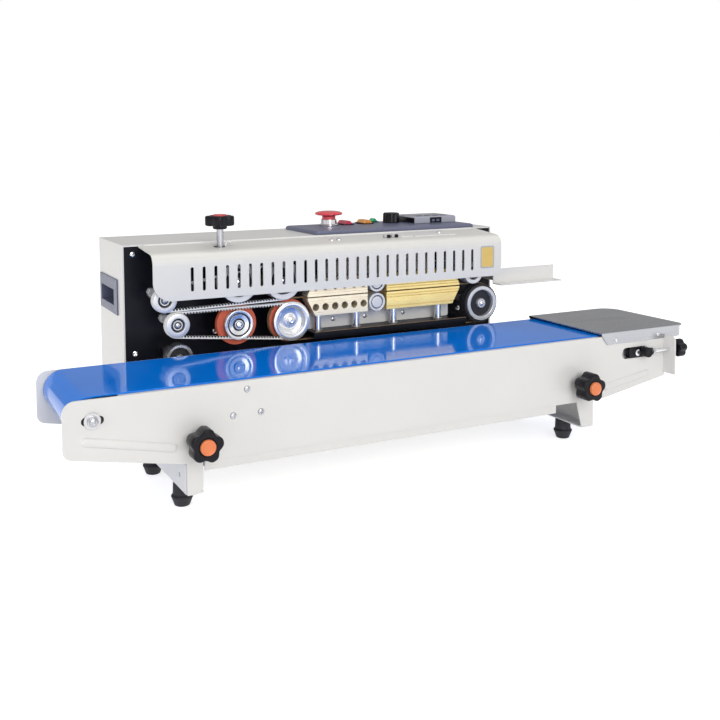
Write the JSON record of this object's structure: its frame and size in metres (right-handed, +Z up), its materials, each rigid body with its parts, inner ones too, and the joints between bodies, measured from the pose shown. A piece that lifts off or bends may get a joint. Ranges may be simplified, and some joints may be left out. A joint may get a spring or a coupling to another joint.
{
  "type": "rotary heat sealing machine",
  "caption": "Continuous band heat sealer: a housing with sealing belts and wheels under a slotted guard, and a belt conveyor clamped along its front.",
  "frame": {"origin": "centre of the machine's bounding box, at floor height", "axes": "+X along the conveyor to its feeding end on the right, +Y from the conveyor to the housing's back, +Z up"},
  "size_m": [0.838, 0.3884, 0.3085],
  "materials": {
    "cream": "satin powder coat",
    "black_paint": "semi-gloss",
    "steel": "brushed",
    "chrome": "mirror",
    "alu": "turned",
    "rubber": "matte",
    "orange_rubber": "matte",
    "blue_belt": "glossy",
    "white_belt": "matte",
    "seal_band": "coated cloth",
    "black_plastic": "satin",
    "orange_cap": "satin",
    "red_button": "glossy",
    "red_rocker": "glossy",
    "amber_rocker": "glossy",
    "green_rocker": "glossy",
    "blue_grey": "satin",
    "gold_anodised": "anodised",
    "copper_anodised": "anodised"
  },
  "bodies": {
    "frame": {"base_beam_left": "cream", "base_beam_right": "cream", "foot_front_left": "rubber", "foot_middle_left": "rubber", "foot_rear_left": "rubber", "foot_front_right": "rubber", "foot_middle_right": "rubber", "foot_rear_right": "rubber", "housing": "cream", "tray": "cream", "front_panel": "black_paint", "carry_handle": "blue_grey", "cable_gland": "black_plastic", "cooling_block_lower": "copper_anodised", "cooling_block_upper": "copper_anodised", "heating_block_lower": "gold_anodised", "heating_block_upper": "gold_anodised", "spring_ledge": "black_paint", "control_plate": "blue_grey", "stop_collar": "chrome", "controller": "blue_grey", "toothed_belt_lower": "white_belt", "toothed_belt_upper": "white_belt", "sealing_band_lower": "seal_band", "sealing_band_upper": "seal_band"},
    "conveyor": {"conveyor_front_plate": "cream", "conveyor_back_plate": "cream", "slider_bed": "cream", "lower_pan": "cream", "conveyor_belt": "blue_belt", "tail_axle": "steel", "end_plate": "steel"},
    "head_roller_turning": {"head_roller": "steel"},
    "tail_roller_turning": {"tail_roller": "steel"},
    "tension_front": {"tension_knob_front": "black_plastic"},
    "tension_back": {"tension_knob_back": "black_plastic"},
    "clamp_left": {"clamp_knob_left": "black_plastic", "clamp_cap_left": "orange_cap"},
    "clamp_right": {"clamp_knob_right": "black_plastic", "clamp_cap_right": "orange_cap"},
    "guard_cover": {"guard": "cream"},
    "pressure_screw": {"pressure_knob": "black_plastic"},
    "stop_push": {"stop_button": "red_button"},
    "switch_red": {"rocker_red": "red_rocker"},
    "switch_amber": {"rocker_amber": "amber_rocker"},
    "switch_green": {"rocker_green": "green_rocker"},
    "dial": {"speed_dial": "black_plastic"},
    "drive_lower": {"drive_wheel_lower": "chrome", "drive_tyre": "orange_rubber"},
    "drive_upper": {"drive_wheel_upper": "alu"},
    "emboss_lower": {"emboss_wheel_lower": "chrome", "emboss_tyre": "orange_rubber"},
    "emboss_upper": {"emboss_wheel_upper": "alu"},
    "left_lower": {"left_pulley_lower": "alu"},
    "left_upper": {"left_pulley_upper": "alu"},
    "pinch_lower": {"pinch_roller_lower": "alu"},
    "pinch_upper": {"pinch_roller_upper": "alu"},
    "end_lower": {"end_wheel_lower": "alu"},
    "end_upper": {"end_wheel_upper": "alu"},
    "conveyor_drive": {"conveyor_drive_wheel": "steel"}
  },
  "joints": [
    {"name": "conveyor_height", "type": "slide", "parent": "frame", "child": "conveyor", "axis": [0, 0, 1], "range_m": [0, 0.014]},
    {"name": "head_roller_spin", "type": "hinge", "parent": "conveyor", "child": "head_roller_turning", "pos_m": [-0.3894, -0.1598, 0.1211], "axis": [0, 1, 0], "continuous": true},
    {"name": "tail_roller_spin", "type": "hinge", "parent": "conveyor", "child": "tail_roller_turning", "pos_m": [0.332, -0.1598, 0.1173], "axis": [0, 1, 0], "continuous": true},
    {"name": "tension_front_turn", "type": "hinge", "parent": "conveyor", "child": "tension_front", "pos_m": [0.381, -0.1698, 0.1188], "axis": [1, 0, 0], "range_deg": [-180, 180]},
    {"name": "tension_back_turn", "type": "hinge", "parent": "conveyor", "child": "tension_back", "pos_m": [0.381, -0.0018, 0.1188], "axis": [1, 0, 0], "range_deg": [-180, 180]},
    {"name": "clamp_left_turn", "type": "hinge", "parent": "frame", "child": "clamp_left", "pos_m": [-0.279, -0.1598, 0.0866], "axis": [0, 1, 0], "range_deg": [-180, 180]},
    {"name": "clamp_right_turn", "type": "hinge", "parent": "frame", "child": "clamp_right", "pos_m": [0.233, -0.1598, 0.0866], "axis": [0, 1, 0], "range_deg": [-180, 180]},
    {"name": "guard_lift", "type": "hinge", "parent": "frame", "child": "guard_cover", "pos_m": [-0.02825, 0.0606, 0.2692], "axis": [-1, 0, 0], "range_deg": [0, 16]},
    {"name": "pressure_turn", "type": "hinge", "parent": "frame", "child": "pressure_screw", "pos_m": [-0.1835, 0.0302, 0.236], "axis": [0, 0, 1], "range_deg": [-180, 180]},
    {"name": "stop_press", "type": "slide", "parent": "frame", "child": "stop_push", "axis": [0, 0, 1], "range_m": [-0.004, 0], "stiffness_N_per_m": 300, "springref_m": 0.004},
    {"name": "switch_red_rock", "type": "hinge", "parent": "frame", "child": "switch_red", "pos_m": [0.0545, 0.1482, 0.2777], "axis": [1, 0, 0], "range_deg": [-8, 8]},
    {"name": "switch_amber_rock", "type": "hinge", "parent": "frame", "child": "switch_amber", "pos_m": [0.0855, 0.1482, 0.2777], "axis": [1, 0, 0], "range_deg": [-8, 8]},
    {"name": "switch_green_rock", "type": "hinge", "parent": "frame", "child": "switch_green", "pos_m": [0.1075, 0.16395, 0.2777], "axis": [1, 0, 0], "range_deg": [-8, 8]},
    {"name": "dial_turn", "type": "hinge", "parent": "frame", "child": "dial", "pos_m": [0.1275, 0.1402, 0.2773], "axis": [0, 0, 1], "range_deg": [0, 270]},
    {"name": "drive_lower_spin", "type": "hinge", "parent": "frame", "child": "drive_lower", "pos_m": [-0.0968, 0.0042, 0.1697], "axis": [0, 1, 0], "continuous": true},
    {"name": "drive_upper_spin", "type": "hinge", "parent": "frame", "child": "drive_upper", "pos_m": [-0.108, 0.0042, 0.2222], "axis": [0, 1, 0], "continuous": true},
    {"name": "emboss_lower_spin", "type": "hinge", "parent": "frame", "child": "emboss_lower", "pos_m": [-0.1687, 0.0042, 0.171], "axis": [0, 1, 0], "continuous": true},
    {"name": "emboss_upper_spin", "type": "hinge", "parent": "frame", "child": "emboss_upper", "pos_m": [-0.1685, 0.0042, 0.2245], "axis": [0, 1, 0], "continuous": true},
    {"name": "left_lower_spin", "type": "hinge", "parent": "frame", "child": "left_lower", "pos_m": [-0.2477, 0.0042, 0.1771], "axis": [0, 1, 0], "continuous": true},
    {"name": "left_upper_spin", "type": "hinge", "parent": "frame", "child": "left_upper", "pos_m": [-0.2634, 0.0042, 0.2085], "axis": [0, 1, 0], "continuous": true},
    {"name": "pinch_lower_spin", "type": "hinge", "parent": "frame", "child": "pinch_lower", "pos_m": [0.028, 0.0042, 0.18445], "axis": [0, 1, 0], "continuous": true},
    {"name": "pinch_upper_spin", "type": "hinge", "parent": "frame", "child": "pinch_upper", "pos_m": [0.028, 0.0042, 0.21075], "axis": [0, 1, 0], "continuous": true},
    {"name": "end_lower_spin", "type": "hinge", "parent": "frame", "child": "end_lower", "pos_m": [0.1977, 0.0042, 0.1694], "axis": [0, 1, 0], "continuous": true},
    {"name": "end_upper_spin", "type": "hinge", "parent": "frame", "child": "end_upper", "pos_m": [0.183, 0.0042, 0.2136], "axis": [0, 1, 0], "continuous": true},
    {"name": "conveyor_drive_spin", "type": "hinge", "parent": "frame", "child": "conveyor_drive", "pos_m": [-0.2459, 0.0042, 0.1366], "axis": [0, 1, 0], "continuous": true}
  ],
  "couplings": [
    {"joint": "drive_upper_spin", "follows": "drive_lower_spin", "ratio": -1.1384},
    {"joint": "emboss_lower_spin", "follows": "drive_lower_spin", "ratio": 1},
    {"joint": "emboss_upper_spin", "follows": "drive_lower_spin", "ratio": -1.0776},
    {"joint": "left_lower_spin", "follows": "drive_lower_spin", "ratio": 1.5411},
    {"joint": "left_upper_spin", "follows": "drive_lower_spin", "ratio": -2.0353},
    {"joint": "pinch_lower_spin", "follows": "drive_lower_spin", "ratio": 2.1895},
    {"joint": "pinch_upper_spin", "follows": "drive_lower_spin", "ratio": -2.1895},
    {"joint": "end_lower_spin", "follows": "drive_lower_spin", "ratio": 0.9891},
    {"joint": "end_upper_spin", "follows": "drive_lower_spin", "ratio": -1.7803},
    {"joint": "conveyor_drive_spin", "follows": "drive_lower_spin", "ratio": 1.5971},
    {"joint": "head_roller_spin", "follows": "drive_lower_spin", "ratio": 1.2929},
    {"joint": "tail_roller_spin", "follows": "drive_lower_spin", "ratio": 1.2929}
  ]
}
